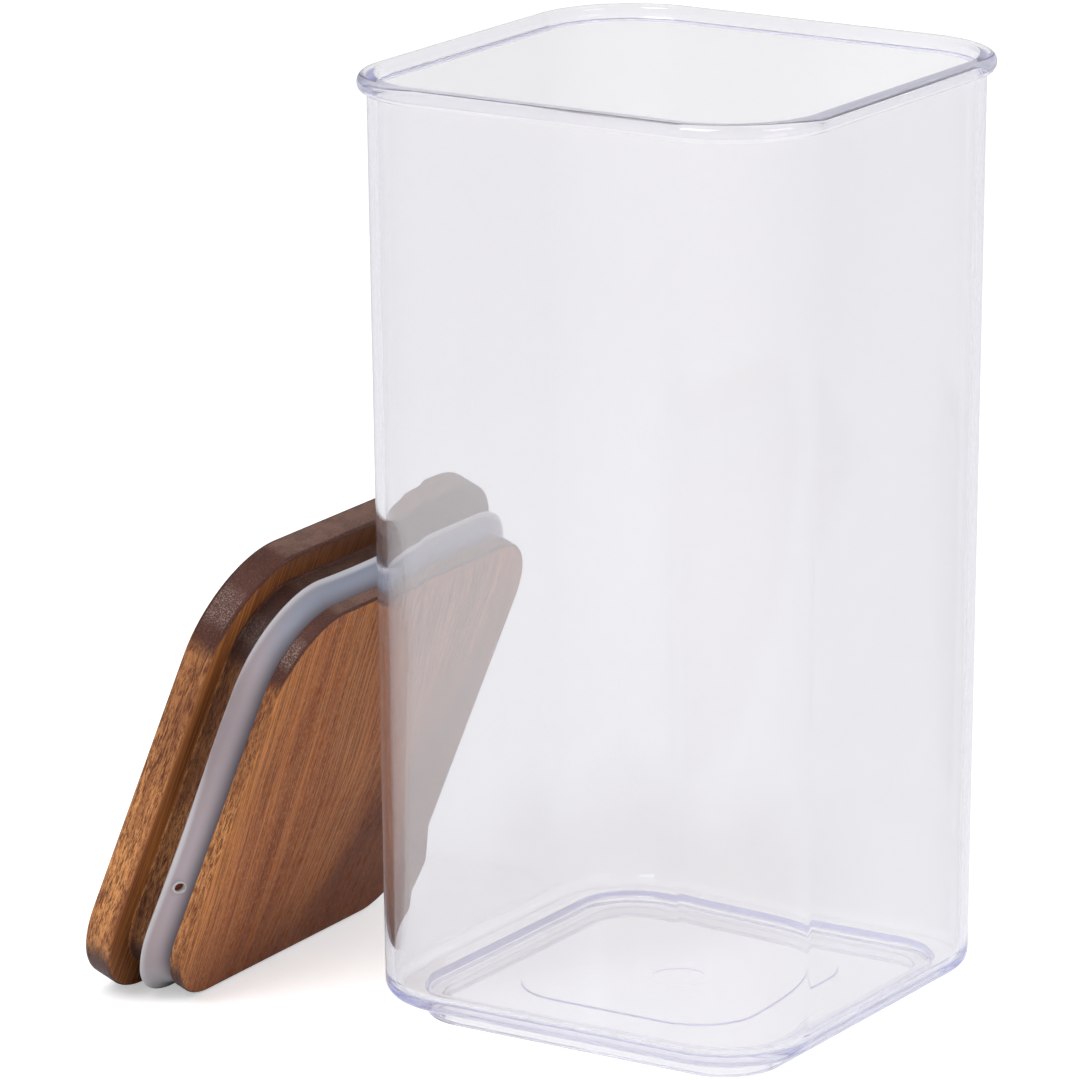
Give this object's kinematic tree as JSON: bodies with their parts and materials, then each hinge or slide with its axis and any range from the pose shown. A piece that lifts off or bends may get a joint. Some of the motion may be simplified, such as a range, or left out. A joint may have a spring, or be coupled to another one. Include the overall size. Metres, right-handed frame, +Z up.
{
  "type": "storage jar",
  "caption": "Tall square clear plastic storage jar with rounded corners, a rim bead and an inset foot; its thick wooden lid with a flared silicone seal is off and leans on the jar.",
  "frame": {"origin": "middle of the underside of the jar's foot, where the jar stands", "axes": "+Z up through the jar's mouth; X and Y square to the jar's flat walls; the lid leans on the wall that faces -X, and -Y is the side of the vent in its seal"},
  "size_m": [0.1576, 0.1229, 0.193],
  "materials": {
    "clear_plastic": "clear, glossy",
    "lid_wood": "oiled, satin",
    "seal_silicone": "soft, translucent, satin"
  },
  "bodies": {
    "jar": {"jar_body": "clear_plastic"},
    "lid": {"wooden_lid": "lid_wood", "silicone_seal": "seal_silicone"}
  },
  "joints": [
    {"name": "lid_lift", "type": "slide", "parent": "jar", "child": "lid", "axis": [-0.3, 0, 0.9539], "range_m": [0, 0.22]}
  ]
}
